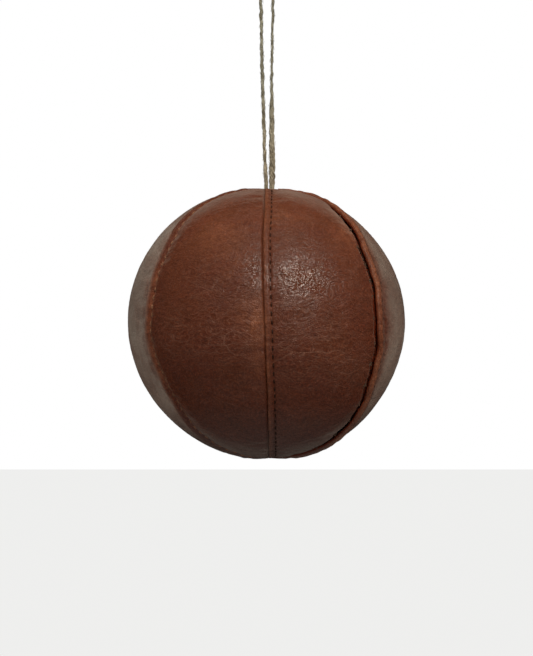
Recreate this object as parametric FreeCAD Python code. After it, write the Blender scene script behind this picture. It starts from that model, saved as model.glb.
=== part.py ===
"""A small leather ball sewn from six gores like a medicine ball, hanging on a doubled jute twine.

Millimetres, +Z up. The origin is the centre of the ball. Longitudes are in degrees, counted from the
front (-Y) towards +X, as seen from above.

Every panel's left edge is turned under and lies over the right edge of its left neighbour. The row
of topstitching runs a little to the right of that fold. One seam was closed last, by hand, from
outside, and its lip stands open.
"""
import FreeCAD
import Part
import math
import os

# Driving dimensions of the ball
BALL_RADIUS = 50.0
LEATHER = 1.1
SKIVED = 0.6
LAYER_GAP = 0.05
SEAM_LONGITUDES = [-59.0, -0.8, 50.0, 112.0, 176.0, 238.0]
CLOSING_SEAM = 2
SEAM_GAP = 0.1
CLOSING_GAP = 1.2
CLOSING_LAYER_GAP = 0.65
HEM_WIDTH = 5.0
ALLOWANCE_HEIGHT = 45.0

# Stitching
STITCH_OFFSET = 2.5
STITCH_PITCH = 3.1
STITCH_LENGTH = 2.3
THREAD_RADIUS = 0.3
STITCH_END_LATITUDE = 76.0
CLOSING_STITCH_PITCH = 7.5
CLOSING_STITCH_RADIUS = 0.3
CLOSING_STITCH_REACH = 1.6
CLOSING_STITCH_DEPTH = 1.0
CLOSING_STITCH_END_LATITUDE = 60.0

# Patches behind the points of the panels
PATCH_RADIUS = 14.0
PATCH_THICKNESS = 0.9
PATCH_GAP = 0.1
BOTTOM_HOLE_RADIUS = 1.2

# Filling
LINER_RADIUS = 46.9
LINER_THICKNESS = 0.5
FILLING_GAP = 0.2
CORE_RADIUS = 22.0
WELL_RADIUS = 10.0
WELL_FLOOR = 35.0

# Hanging: the pole hole sits a little to the right of the centre of the ball
HANG_X = 0.9
POLE_HOLE_RADIUS = 3.3
KNOT_HEIGHT = 43.9
KNOT_RADIUS = 3.4
KNOT_CLEARANCE = 0.3
KNOT_TAIL = 6.5
KNOT_TAIL_SPLAY = 22.0
WASHER_RADIUS = 7.5
WASHER_BOTTOM = 45.3
WASHER_TOP = 46.8
WASHER_HOLE_RADIUS = 2.7

# Twine
TWINE_RADIUS = 0.75
HOOK_CENTRE = 126.5
BIGHT_RADIUS = 2.3
CORNER_SHARE = 0.45

UP = FreeCAD.Vector(0, 0, 1)
ORIGIN = FreeCAD.Vector(0, 0, 0)
SEAMS = len(SEAM_LONGITUDES)


def seam_longitude(index):
    """Longitude of a seam; the index may run past the last seam, once round."""
    return SEAM_LONGITUDES[index % SEAMS] + 360.0 * (index // SEAMS)


def turned_to(shape, longitude):
    """Turn a shape made along +X so that it faces a longitude."""
    turned = shape.copy()
    turned.rotate(ORIGIN, UP, longitude - 90.0)
    return turned


def shell(inner, outer):
    """Hollow ball between two radii."""
    return Part.makeSphere(outer).cut(Part.makeSphere(inner))


def lune(radius, start, end):
    """Wedge of a solid ball between two longitudes."""
    wedge = Part.makeSphere(radius, ORIGIN, UP, -90.0, 90.0, end - start)
    wedge.rotate(ORIGIN, UP, start - 90.0)
    return wedge


def slab(longitude, left, right, height):
    """Upright slab beside a seam's plane, from left to right of it, up to a height and down as far."""
    corner = FreeCAD.Vector(0, left, -height)
    box = Part.makeBox(BALL_RADIUS + 5.0, right - left, 2.0 * height, corner)
    return turned_to(box, longitude)


def upright_cylinder(radius, x, bottom, top):
    return Part.makeCylinder(radius, top - bottom, FreeCAD.Vector(x, 0, bottom), UP)


def seam_gap(index):
    return CLOSING_GAP if index % SEAMS == CLOSING_SEAM else SEAM_GAP


def layer_gap(index):
    return CLOSING_LAYER_GAP if index % SEAMS == CLOSING_SEAM else LAYER_GAP


def hem_inner_radius():
    return BALL_RADIUS - LEATHER - SKIVED


def tongue_outer_radius(index):
    return hem_inner_radius() - layer_gap(index)


def tongue_inner_radius(index):
    return tongue_outer_radius(index) - SKIVED


def make_panel(index):
    """One gore: its face, the turned hem at its left and the tongue under its right neighbour."""
    left = seam_longitude(index)
    right = seam_longitude(index + 1)
    gap = seam_gap(index + 1)
    face = lune(BALL_RADIUS, left, right).cut(Part.makeSphere(BALL_RADIUS - LEATHER))
    face = face.cut(slab(right, -gap, 1.0, BALL_RADIUS + 5.0))
    hem = shell(hem_inner_radius(), BALL_RADIUS - LEATHER)
    hem = hem.common(slab(left, 0.0, HEM_WIDTH, ALLOWANCE_HEIGHT))
    step_left = -gap - SKIVED
    step = shell(tongue_inner_radius(index + 1), BALL_RADIUS - LEATHER)
    step = step.common(slab(right, step_left, -gap, ALLOWANCE_HEIGHT))
    tongue = shell(tongue_inner_radius(index + 1), tongue_outer_radius(index + 1))
    tongue = tongue.common(slab(right, step_left, HEM_WIDTH, ALLOWANCE_HEIGHT))
    panel = face.fuse([hem, step, tongue])
    panel = panel.cut(upright_cylinder(POLE_HOLE_RADIUS, HANG_X, 0.0, BALL_RADIUS + 5.0))
    panel = panel.cut(upright_cylinder(BOTTOM_HOLE_RADIUS, 0.0, -BALL_RADIUS - 5.0, 0.0))
    return panel.removeSplitter()


def stitch_latitudes(radius, pitch, end_latitude):
    """Latitudes of evenly spaced stitches along a seam, the same above and below the equator."""
    step = math.degrees(pitch / radius)
    count = int(end_latitude / step)
    return [step * number for number in range(-count, count + 1)]


def on_stitch_line(radius, latitude, offset):
    """A point at a distance from the centre, on the upright plane beside the seam's plane."""
    reach = math.sqrt(radius ** 2 - offset ** 2)
    angle = math.radians(latitude)
    return FreeCAD.Vector(reach * math.cos(angle), offset, reach * math.sin(angle))


def make_stitch(bar_radius, leg_radius, latitude):
    """A stitch along the seam, with the leg that goes into the needle hole at its upper end."""
    angle = math.radians(latitude)
    along = FreeCAD.Vector(-math.sin(angle), 0, math.cos(angle))
    middle = on_stitch_line(bar_radius, latitude, STITCH_OFFSET)
    start = middle - along * (STITCH_LENGTH / 2.0)
    bar = Part.makeCylinder(THREAD_RADIUS, STITCH_LENGTH, start, along)
    top = middle + along * (STITCH_LENGTH / 2.0 - THREAD_RADIUS)
    foot = on_stitch_line(leg_radius, latitude, STITCH_OFFSET) + (top - middle)
    leg = Part.makeCylinder(THREAD_RADIUS * 0.9, (foot - top).Length, top, foot - top)
    return bar.fuse(leg).removeSplitter()


def make_needle_thread(index):
    """The upper thread of one row of topstitching."""
    meeting = BALL_RADIUS - LEATHER
    stitches = []
    for latitude in stitch_latitudes(BALL_RADIUS, STITCH_PITCH, STITCH_END_LATITUDE):
        stitch = make_stitch(BALL_RADIUS + 0.05, meeting, latitude)
        stitches.append(turned_to(stitch, seam_longitude(index)))
    return Part.makeCompound(stitches)


def make_bobbin_thread(index):
    """The lower thread of one row, under the layers that the needle went through."""
    meeting = BALL_RADIUS - LEATHER
    if index == CLOSING_SEAM:
        bar_radius = hem_inner_radius() - 0.05
    else:
        bar_radius = tongue_inner_radius(index) - 0.05
    stitches = []
    for latitude in stitch_latitudes(BALL_RADIUS, STITCH_PITCH, STITCH_END_LATITUDE):
        stitch = make_stitch(bar_radius, meeting - 0.02, latitude)
        stitches.append(turned_to(stitch, seam_longitude(index)))
    return Part.makeCompound(stitches)


def make_closing_thread():
    """Hand stitches across the open lip of the seam that was closed last."""
    depth = BALL_RADIUS - CLOSING_STITCH_DEPTH
    stitches = []
    latitudes = stitch_latitudes(depth, CLOSING_STITCH_PITCH, CLOSING_STITCH_END_LATITUDE)
    for latitude in latitudes:
        start = on_stitch_line(depth, latitude, -CLOSING_GAP - CLOSING_STITCH_REACH)
        end = on_stitch_line(depth, latitude + 1.5, CLOSING_STITCH_REACH)
        bar = Part.makeCylinder(CLOSING_STITCH_RADIUS, (end - start).Length, start, end - start)
        stitches.append(turned_to(bar, seam_longitude(CLOSING_SEAM)))
    return Part.makeCompound(stitches)


def make_patch(top):
    """Leather disc behind the points of the panels; the top one has the hole for the twine."""
    outer = BALL_RADIUS - LEATHER - PATCH_GAP
    patch = shell(outer - PATCH_THICKNESS, outer)
    if top:
        patch = patch.common(upright_cylinder(PATCH_RADIUS, 0.0, 0.0, BALL_RADIUS))
        return patch.cut(upright_cylinder(POLE_HOLE_RADIUS, HANG_X, 0.0, BALL_RADIUS))
    return patch.common(upright_cylinder(PATCH_RADIUS, 0.0, -BALL_RADIUS, 0.0))


def make_well():
    """Room for the washer, the knot and its tails under the top patch."""
    return upright_cylinder(WELL_RADIUS, HANG_X, WELL_FLOOR, BALL_RADIUS)


def make_liner():
    liner = shell(LINER_RADIUS - LINER_THICKNESS, LINER_RADIUS)
    return liner.cut(make_well())


def make_filling():
    filling = shell(CORE_RADIUS + FILLING_GAP, LINER_RADIUS - LINER_THICKNESS - FILLING_GAP)
    return filling.cut(make_well())


def knot_centre():
    return FreeCAD.Vector(HANG_X, 0, KNOT_HEIGHT)


def make_washer():
    """Steel washer whose lower edge is dished to seat the knot."""
    washer = upright_cylinder(WASHER_RADIUS, HANG_X, WASHER_BOTTOM, WASHER_TOP)
    washer = washer.cut(upright_cylinder(WASHER_HOLE_RADIUS, HANG_X, 0.0, BALL_RADIUS))
    return washer.cut(Part.makeSphere(KNOT_RADIUS + KNOT_CLEARANCE, knot_centre()))


def make_knot():
    """The stopper knot with its two cut tails pointing down."""
    knot = Part.makeSphere(KNOT_RADIUS, knot_centre())
    for side in (-1, 1):
        splay = math.radians(KNOT_TAIL_SPLAY) * side
        way = FreeCAD.Vector(math.sin(splay), 0, -math.cos(splay))
        knot = knot.fuse(Part.makeCylinder(TWINE_RADIUS, KNOT_TAIL, knot_centre(), way))
    return knot


# The route of the doubled twine, from the knot up one leg, round the hook and down the other leg.
# The points stay as they were laid by hand; every bend between two straight runs is one arc.
LEG_FOOT = 47.8
ROUTE = [
    (-0.05, 0.0, LEG_FOOT),
    (-0.65, 0.05, 57.5),
    (-1.28, -0.05, 80.5),
    (-2.0, 0.0, 108.0),
    (-BIGHT_RADIUS, 0.0, HOOK_CENTRE + 0.577 * BIGHT_RADIUS),
    (0.0, 0.0, HOOK_CENTRE + 1.155 * BIGHT_RADIUS),
    (BIGHT_RADIUS, 0.0, HOOK_CENTRE + 0.577 * BIGHT_RADIUS),
    (2.1, 0.0, 108.0),
    (1.78, -0.05, 84.0),
    (1.95, 0.05, 63.0),
    (1.85, 0.0, LEG_FOOT),
]


def twine_path():
    """Straight runs joined by tangent arcs, each as large as its two runs allow."""
    points = [FreeCAD.Vector(*point) for point in ROUTE]
    edges = []
    radii = []
    start = points[0]
    for before, corner, after in zip(points, points[1:], points[2:]):
        back = (before - corner).normalize()
        ahead = (after - corner).normalize()
        half_turn = (math.pi - back.getAngle(ahead)) / 2.0
        reach = CORNER_SHARE * min((before - corner).Length, (after - corner).Length)
        radius = reach / math.tan(half_turn)
        inward = (back + ahead).normalize()
        middle = corner + inward * (radius / math.cos(half_turn) - radius)
        arc_start = corner + back * reach
        arc_end = corner + ahead * reach
        edges.append(Part.LineSegment(start, arc_start).toShape())
        edges.append(Part.Arc(arc_start, middle, arc_end).toShape())
        radii.append(radius)
        start = arc_end
    edges.append(Part.LineSegment(start, points[-1]).toShape())
    return Part.Wire(edges), radii


def make_cord():
    """The twine as one tube along its route."""
    path, radii = twine_path()
    start = FreeCAD.Vector(*ROUTE[0])
    way = FreeCAD.Vector(*ROUTE[1]) - start
    profile = Part.Wire([Part.Circle(start, way, TWINE_RADIUS).toShape()])
    tube = path.makePipeShell([profile], True, False)
    expected = math.pi * TWINE_RADIUS ** 2 * path.Length
    print("twine radii", [round(radius, 1) for radius in radii])
    print("twine length %.1f mm, volume %.1f of %.1f mm3" % (path.Length, tube.Volume, expected))
    return tube


def make_parts():
    parts = {}
    for index in range(SEAMS):
        number = index + 1
        parts["panel_%d" % number] = make_panel(index)
        parts["needle_thread_%d" % number] = make_needle_thread(index)
        parts["bobbin_thread_%d" % number] = make_bobbin_thread(index)
    parts["closing_thread"] = make_closing_thread()
    parts["top_patch"] = make_patch(True)
    parts["bottom_patch"] = make_patch(False)
    parts["liner_bag"] = make_liner()
    parts["fibre_filling"] = make_filling()
    parts["cloth_core"] = Part.makeSphere(CORE_RADIUS)
    parts["cord_washer"] = make_washer()
    parts["cord_knot"] = make_knot()
    parts["hang_cord"] = make_cord()
    return parts


os.makedirs("parts", exist_ok=True)
for name, shape in make_parts().items():
    shape.exportStep("parts/%s.step" % name)
    print(name, "solids", len(shape.Solids), "volume %.1f" % shape.Volume, shape.isValid())
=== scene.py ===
"""Looks of the small hanging leather ball: six sewn gores, their stitches and the jute twine.

Everything is in the row frame. Lengths inside the shape functions are in millimetres, because the
leather's details are; MM turns them into metres where a mesh is made.
"""
import math
from collections import namedtuple

import bpy
import numpy as np
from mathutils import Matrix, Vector


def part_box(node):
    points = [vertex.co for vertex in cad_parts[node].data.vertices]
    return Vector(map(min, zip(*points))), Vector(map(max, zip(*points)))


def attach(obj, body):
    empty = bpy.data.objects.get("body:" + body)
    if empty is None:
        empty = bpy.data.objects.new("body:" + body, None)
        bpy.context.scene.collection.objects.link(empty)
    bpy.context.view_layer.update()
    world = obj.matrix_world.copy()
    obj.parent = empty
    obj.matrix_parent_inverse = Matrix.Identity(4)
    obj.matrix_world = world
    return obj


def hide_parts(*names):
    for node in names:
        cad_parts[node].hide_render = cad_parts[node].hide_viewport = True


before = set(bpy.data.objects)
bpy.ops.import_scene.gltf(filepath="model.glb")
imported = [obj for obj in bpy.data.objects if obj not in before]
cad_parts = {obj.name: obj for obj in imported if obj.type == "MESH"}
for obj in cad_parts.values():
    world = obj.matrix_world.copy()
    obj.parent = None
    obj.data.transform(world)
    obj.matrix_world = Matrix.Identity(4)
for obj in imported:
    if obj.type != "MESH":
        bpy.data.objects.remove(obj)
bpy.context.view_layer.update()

MM = 0.001

# ------------------------ the frame's own sizes

LEATHER = 1.1
HEM = 0.6
THREAD_PROUD = 0.35
SEAMS = 6
WIDE = 0
CLOSING = 2
HANG_X = (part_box("cord_washer")[0].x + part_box("cord_washer")[1].x) / 2.0 / MM
CORD_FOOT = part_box("hang_cord")[0].z / MM
BALL_RADIUS = -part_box("needle_thread_2")[0].y / MM - THREAD_PROUD
HALF_WIDTH = BALL_RADIUS * 1.001
HALF_HEIGHT = BALL_RADIUS * 0.979
AXIS_LEAN = math.radians(0.87)
CORNER_LEAN = 0.75
# Flattened places of the ball, or full ones where the depth is negative: (direction, mm, degrees)
FLATS = [((0.87, 0.0, -0.50), 0.9, 24.0), ((-0.2, 0.0, -0.98), -0.6, 15.0)]

# ------------------------ camera

# The view's height, and how far right of and above its middle the ball's middle is, in ball radii
VIEW_HEIGHT = 4.788321
BALL_RIGHT = 0.001460
BALL_UP = 0.036496
CAMERA_DISTANCE = 0.9
SENSOR = 36.0


def make_camera():
    """Level with the ball's middle, far off, with the ball a little above the middle of the view."""
    radius = BALL_RADIUS * MM
    data = bpy.data.cameras.new("camera")
    data.sensor_width = SENSOR
    data.lens = SENSOR * CAMERA_DISTANCE / (VIEW_HEIGHT * radius)
    data.clip_start = 0.05
    data.clip_end = 50.0
    camera = bpy.data.objects.new("camera", data)
    camera.location = (-BALL_RIGHT * radius, -CAMERA_DISTANCE, -BALL_UP * radius)
    camera.rotation_euler = (math.pi / 2.0, 0.0, 0.0)
    bpy.context.scene.collection.objects.link(camera)
    bpy.context.scene.camera = camera


make_camera()

# ------------------------ noise

RNG = np.random.default_rng(41)
SHUFFLE = np.tile(RNG.permutation(256), 3)
SLOPES = RNG.normal(size=(256, 3))
SLOPES /= np.linalg.norm(SLOPES, axis=1)[:, None]


def corner_hash(cell):
    cell = cell & 255
    return SHUFFLE[SHUFFLE[SHUFFLE[cell[:, 0]] + cell[:, 1]] + cell[:, 2]]


def steps_round(values):
    """Every step of a lattice in three directions."""
    return [np.array([dx, dy, dz]) for dx in values for dy in values for dz in values]


def noise(points):
    """Gradient noise, about -1 to 1, at points in noise units."""
    base = np.floor(points).astype(int)
    part = points - base
    ease = part ** 3 * (part * (part * 6.0 - 15.0) + 10.0)
    total = np.zeros(len(points))
    for step in steps_round((0, 1)):
        value = ((part - step) * SLOPES[corner_hash(base + step)]).sum(axis=1)
        total += np.where(step == 1, ease, 1.0 - ease).prod(axis=1) * value
    return total * 1.6


def layered_noise(points, octaves):
    gains = 0.5 ** np.arange(octaves)
    layers = [gain * noise(points * 2.03 ** k + 17.3 * k) for k, gain in enumerate(gains)]
    return sum(layers) / gains.sum()


def noise_along(*keys):
    """Noise at points whose three coordinates are given apart, as arrays or numbers."""
    return noise(np.stack(np.broadcast_arrays(*keys), axis=1))


def cell_edges(points):
    """Distance to the border between cells of a jittered lattice, 0 on the border."""
    base = np.floor(points).astype(int)
    nearest = np.full(len(points), 9.0)
    second = np.full(len(points), 9.0)
    for step in steps_round((-1, 0, 1)):
        cell = base + step
        far = np.linalg.norm(cell + 0.5 + 0.45 * SLOPES[corner_hash(cell)] - points, axis=1)
        second = np.minimum(second, np.maximum(far, nearest))
        nearest = np.minimum(nearest, far)
    return second - nearest


def smooth(low, high, value):
    share = np.clip((value - low) / (high - low), 0.0, 1.0)
    return share * share * (3.0 - 2.0 * share)


def bump(value, middle, width):
    return np.exp(-((value - middle) / width) ** 2)


# ------------------------ meshes


def new_mesh_object(name, points, faces, material, smooth_shading=True):
    mesh = bpy.data.meshes.new(name)
    mesh.from_pydata((np.asarray(points) * MM).tolist(), [], faces)
    mesh.polygons.foreach_set("use_smooth", [smooth_shading] * len(mesh.polygons))
    mesh.materials.append(material)
    mesh.update()
    thing = bpy.data.objects.new(name, mesh)
    bpy.context.scene.collection.objects.link(thing)
    return thing


def tube_faces(rows, columns, start=0, ends="capped"):
    """Faces of a tube of rows of closed columns. Its ends are open, capped or joined to each other."""
    faces = []
    for row in range(rows if ends == "joined" else rows - 1):
        here, there = start + row * columns, start + (row + 1) % rows * columns
        for column in range(columns):
            after = (column + 1) % columns
            faces.append((here + column, here + after, there + after, there + column))
    if ends == "capped":
        last = start + (rows - 1) * columns
        faces.append(tuple(reversed(range(start, start + columns))))
        faces.append(tuple(range(last, last + columns)))
    return faces


def joined_tubes(name, tubes, material):
    """One mesh of closed tubes, each an array of rows by sides by three coordinates."""
    faces, start = [], 0
    for rows, sides, _ in (tube.shape for tube in tubes):
        faces += tube_faces(rows, sides, start)
        start += rows * sides
    points = np.concatenate([tube.reshape(-1, 3) for tube in tubes])
    return new_mesh_object(name, points, faces, material)


def unit(vectors):
    return vectors / np.linalg.norm(vectors, axis=1)[:, None]


def sides_of(path, out):
    """Two directions across a path, of which the second is nearest to out."""
    along = unit(np.gradient(path, axis=0))
    side = unit(np.cross(along, out))
    return side, np.cross(side, along)


def rings_along(path, side, up, reaches):
    """Points round a path, one to each reach: a distance from it, or one for each of its points."""
    lines = []
    for k, reach in enumerate(reaches):
        turn = 2.0 * math.pi * k / len(reaches)
        outward = math.cos(turn) * side + math.sin(turn) * up
        lines.append(path + np.broadcast_to(reach, len(path))[:, None] * outward)
    return np.stack(lines, axis=1)


def tube(path, radius, sides):
    """A closed tube along a path on the ball."""
    side, up = sides_of(path, unit(path))
    return rings_along(path, side, up, [radius] * sides)


# ------------------------ the twine's way

HOOK_CENTRE = 126.5
BIGHT = 2.3
ROUTE = [
    (-0.05, 0.0, CORD_FOOT),
    (-0.65, 0.05, 57.5),
    (-1.28, -0.05, 80.5),
    (-2.0, 0.0, 108.0),
    (-2.25, 0.0, 118.5),
    (-BIGHT, 0.0, HOOK_CENTRE + 0.577 * BIGHT),
    (0.0, 0.0, HOOK_CENTRE + 1.155 * BIGHT),
    (BIGHT, 0.0, HOOK_CENTRE + 0.577 * BIGHT),
    (2.25, 0.0, 118.5),
    (2.1, 0.0, 108.0),
    (1.78, -0.05, 84.0),
    (1.95, 0.05, 63.0),
    (1.85, 0.0, CORD_FOOT),
]


def twine_centreline():
    """Points along the twine's NURBS route, in mm."""
    curve = bpy.data.curves.new("twine_route", "CURVE")
    curve.dimensions = "3D"
    spline = curve.splines.new("NURBS")
    spline.points.add(len(ROUTE) - 1)
    for point, place in zip(spline.points, ROUTE):
        point.co = (place[0] * MM, place[1] * MM, place[2] * MM, 1.0)
    spline.order_u = 3
    spline.use_endpoint_u = True
    spline.resolution_u = 48
    thing = bpy.data.objects.new("twine_route", curve)
    bpy.context.scene.collection.objects.link(thing)
    bpy.context.view_layer.update()
    mesh = bpy.data.meshes.new_from_object(thing)
    points = np.array([v.co for v in mesh.vertices]) / MM
    bpy.data.objects.remove(thing)
    bpy.data.curves.remove(curve)
    bpy.data.meshes.remove(mesh)
    return points


def evenly(points, spacing):
    """The same way in even steps, and how far along it each point is."""
    lengths = np.concatenate([[0.0], np.cumsum(np.linalg.norm(np.diff(points, axis=0), axis=1))])
    wanted = np.linspace(0.0, lengths[-1], int(lengths[-1] / spacing) + 1)
    return np.stack([np.interp(wanted, lengths, points[:, k]) for k in range(3)], axis=1), wanted


TWINE_STEP = 0.2
TWINE_CENTRE, TWINE_ALONG = evenly(twine_centreline(), TWINE_STEP)
STRANDS = 8
STRAND_SIDES = 9
LAY = 15.0
HAIRS = 420
HAIR = 0.045
HAIR_SIDES = 4
# Height from which the twine is out of its hole and its kinks and hairs are free
FREE_FROM = 49.5
# How thick each leg of the twine is at heights above the ball's middle: (height, mm)
LEFT_LEG = [
    (48.0, 1.5), (54.0, 1.35), (60.0, 1.1), (72.0, 1.25), (90.0, 1.15), (105.0, 1.0), (112.0, 1.15),
    (130.0, 1.2),
]
RIGHT_LEG = [
    (48.0, 1.8), (50.5, 1.95), (55.0, 2.2), (64.0, 2.15), (70.0, 1.7), (78.0, 1.6), (84.0, 1.1),
    (92.0, 0.8), (118.0, 0.85), (130.0, 1.2),
]


def twine_thickness(centre):
    """Thickness of the hand-spun twine along its length; its second leg swells low down."""
    height = centre[:, 2]
    left = np.interp(height, *zip(*LEFT_LEG))
    right = np.interp(height, *zip(*RIGHT_LEG))
    lumps = 1.0 + 0.16 * noise_along(height * 0.42, np.sign(centre[:, 0]) * 3.0, 0.0)
    return np.where(np.arange(len(centre)) < height.argmax(), left, right) * lumps


def strand_rings(path, radius, side, up, seed):
    """One strand, ribbed along its length by its fibres."""
    steps = np.arange(len(path)) * 0.09
    ribs = [0.30 * noise_along(steps, 3.1 * k, 7.7 * seed) for k in range(STRAND_SIDES)]
    return rings_along(path, side, up, [radius * (1.0 + rib) for rib in ribs])


def hair_rings(centre, side, up, half, draw):
    """A fibre that leaves the twine at a low angle and curls."""
    count = int(draw.integers(8, 26))
    start = int(draw.integers(2, len(centre) - count - 2))
    centre, side, up, half = (array[start:start + count] for array in (centre, side, up, half))
    angle = draw.uniform(0.0, 2.0 * math.pi) + np.linspace(0.0, draw.normal() * 1.2, count)
    share = np.linspace(0.0, 1.0, count)
    if draw.random() < 0.5:
        share = share[::-1]
    stand = draw.uniform(0.12, 0.55) * share ** 1.6 * smooth(FREE_FROM, FREE_FROM + 4.5, centre[:, 2])
    reach = half * 0.9 + stand
    path = centre + reach[:, None] * (np.cos(angle)[:, None] * side + np.sin(angle)[:, None] * up)
    return rings_along(path, side, up, [HAIR] * HAIR_SIDES)


def make_twine(material):
    """Loosely spun strands lying side by side with a slow twist, and the hairs that stand off them."""
    centre, along = TWINE_CENTRE, TWINE_ALONG
    side, up = sides_of(centre, np.array([0.0, 1.0, 0.0]))
    half = twine_thickness(centre) / 2.0
    keys = np.stack(np.broadcast_arrays(along * 0.16, 4.2, 1.7), axis=1)
    turn = along * 2.0 * math.pi / LAY + 1.6 * noise(keys * 0.8 + 3.0)
    free = smooth(FREE_FROM, FREE_FROM + 3.5, centre[:, 2])
    for reach, pitch in ((0.20, 3.4), (0.11, 1.5)):
        for way, shift in ((side, 31.0), (up, 57.0)):
            centre = centre + (reach * free * noise(keys / 0.16 / pitch + shift))[:, None] * way
    tubes = []
    for strand in range(STRANDS):
        angle = turn + 2.0 * math.pi * strand / STRANDS + 0.5 * noise(keys * 1.3 + 11.0 * strand)
        ring = half * (0.62 + 0.30 * noise(keys * 2.6 + 7.0 * strand))
        path = centre + ring[:, None] * (np.cos(angle)[:, None] * side + np.sin(angle)[:, None] * up)
        radius = half * (0.38 + 0.16 * noise(keys * 2.3 + 5.0 * strand))
        tubes.append(strand_rings(path, radius, side, up, strand))
    tubes.append(strand_rings(centre, half * 0.5, side, up, STRANDS))
    draw = np.random.default_rng(7)
    tubes += [hair_rings(centre, side, up, half, draw) for hair in range(HAIRS)]
    twine = joined_tubes("jute_twine", tubes, material)
    stand_for(twine, "cord", "hang_cord")


# ------------------------ the shape of the ball

# Where each seam's fold runs: (latitude, longitude) in degrees, joined smoothly.
SEAM_COURSES = [
    [(-90, -63), (-50, -61.0), (-35, -56.5), (-24, -57.0), (-6, -59.4), (8, -59.0), (24, -59.0),
     (38, -61.0), (50, -66.0), (65, -72.0), (90, -74)],
    [(-90, 0.8), (-80, 0.4), (-35, -0.1), (-7, -0.7), (5, -0.9), (33, -1.2), (76, 0.3), (90, 0.5)],
    [(-90, 62), (-68, 63.5), (-52, 60.5), (-40, 57.0), (-26, 53.6), (-12, 52.2), (2, 51.4), (15, 52.2),
     (30, 54.0), (43, 58.6), (54, 64.0), (65, 77.0), (90, 84)],
    [(-90, 114), (-40, 112), (0, 113), (45, 115), (90, 122)],
    [(-90, 177), (-30, 175), (20, 177), (60, 175), (90, 180)],
    [(-90, 238), (-40, 240), (10, 238), (50, 236), (90, 236)],
]
# How far each seam strays from its smooth course, in degrees
STRAYING = [0.20, 0.07, 0.42, 0.25, 0.20, 0.22]


def seam_course(index, latitude):
    """Longitude of a seam's fold, in degrees, at latitudes in degrees."""
    turns, seam = divmod(index, SEAMS)
    phase = 2.1 * seam
    stray = np.sin(0.23 * latitude + phase) + 0.6 * np.sin(0.51 * latitude + 1.7 * phase)
    stray = STRAYING[seam] * stray * smooth(84.0, 70.0, np.abs(latitude))
    knots, course = np.array(SEAM_COURSES[seam], float).T
    slopes = np.gradient(course, knots)
    place = np.clip(np.searchsorted(knots, latitude, side="right") - 1, 0, len(knots) - 2)
    span = knots[place + 1] - knots[place]
    t = np.clip((latitude - knots[place]) / span, 0.0, 1.0)
    return 360.0 * turns + stray + (
        course[place] * (1 + 2 * t) * (1 - t) ** 2
        + slopes[place] * span * t * (1 - t) ** 2
        + course[place + 1] * t * t * (3 - 2 * t)
        + slopes[place + 1] * span * t * t * (t - 1)
    )


def lean(points):
    """Turn points a little about Y, because the ball's seams meet a little left of its top."""
    c, s = math.cos(AXIS_LEAN), math.sin(AXIS_LEAN)
    x, y, z = points.T
    return np.stack([x * c - z * s, y, x * s + z * c], axis=1)


def directions(latitude, longitude):
    """Unit vectors at latitudes and longitudes in degrees; longitude 0 faces the viewer."""
    lat, lon = np.radians(latitude), np.radians(longitude)
    return np.stack([np.cos(lat) * np.sin(lon), -np.cos(lat) * np.cos(lon), np.sin(lat)], axis=1)


def ball_point(latitude, longitude, height):
    """A point height mm above the ball's even surface. Latitude and longitude are in degrees."""
    way = directions(latitude, longitude)
    reach = 1.0 - CORNER_LEAN / BALL_RADIUS * way[:, 0] * way[:, 2]
    for middle, depth, width in FLATS:
        apart = np.degrees(np.arccos(np.clip(way @ np.array(middle), -1.0, 1.0)))
        reach = reach - depth / BALL_RADIUS * bump(apart, 0.0, width)
    even = way * np.array([HALF_WIDTH, HALF_WIDTH, HALF_HEIGHT]) * reach[:, None]
    return lean(even + way * np.asarray(height)[:, None])


def row_length(latitude):
    """Millimetres along a parallel for one degree of longitude."""
    return HALF_WIDTH * np.cos(np.radians(latitude)) * math.pi / 180.0


# The section across a seam: how high its lip stands and how round its nose is, how deep the other
# panel goes under it and from where to where, and how far from the fold its stitches and strip are
Lap = namedtuple("Lap", "crest nose drop drop_start drop_end stitch_line strip_end")
SEWN_LAP = Lap(0.24, 0.62, 1.15, -0.7, 0.9, 2.5, 2.5)
WIDE_LAP = Lap(0.52, 0.60, 0.70, -0.7, 0.5, 4.0, 4.4)
OPEN_LAP = Lap(1.15, 0.95, 1.40, 0.2, 2.7, 2.5, 4.2)
# Where a panel is narrower than this, its folds are narrower too
ROOMY = 11.0


def narrowing(width):
    return np.clip(width / ROOMY, 0.05, 1.0)


def lap_of(index):
    return {WIDE: WIDE_LAP, CLOSING: OPEN_LAP}.get(index % SEAMS, SEWN_LAP)


def lip_stand(lap, latitude):
    """How much higher than usual a lip stands: the open one curls away low down, where it ends."""
    extra = 0.5 * bump(latitude, -60.0, 20.0) + 0.25 * bump(latitude, 44.0, 12.0)
    return 1.0 + extra * (lap is OPEN_LAP)


def lip_height(lap, distance, groove):
    """Height of the outer face at a distance right of the fold."""
    strip = lap.crest * (1.0 - smooth(lap.strip_end * 0.6, lap.strip_end, distance))
    line = -groove * bump(distance, lap.stitch_line, 0.38)
    settle = -0.2 * bump(distance, lap.stitch_line + 0.3, 2.4) * smooth(1.2, 2.2, distance)
    return strip + line + settle


def under_height(lap, distance):
    """Height of the outer face at a distance left of the next panel's fold."""
    return -lap.drop * (1.0 - smooth(lap.drop_start, lap.drop_end, distance))


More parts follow.
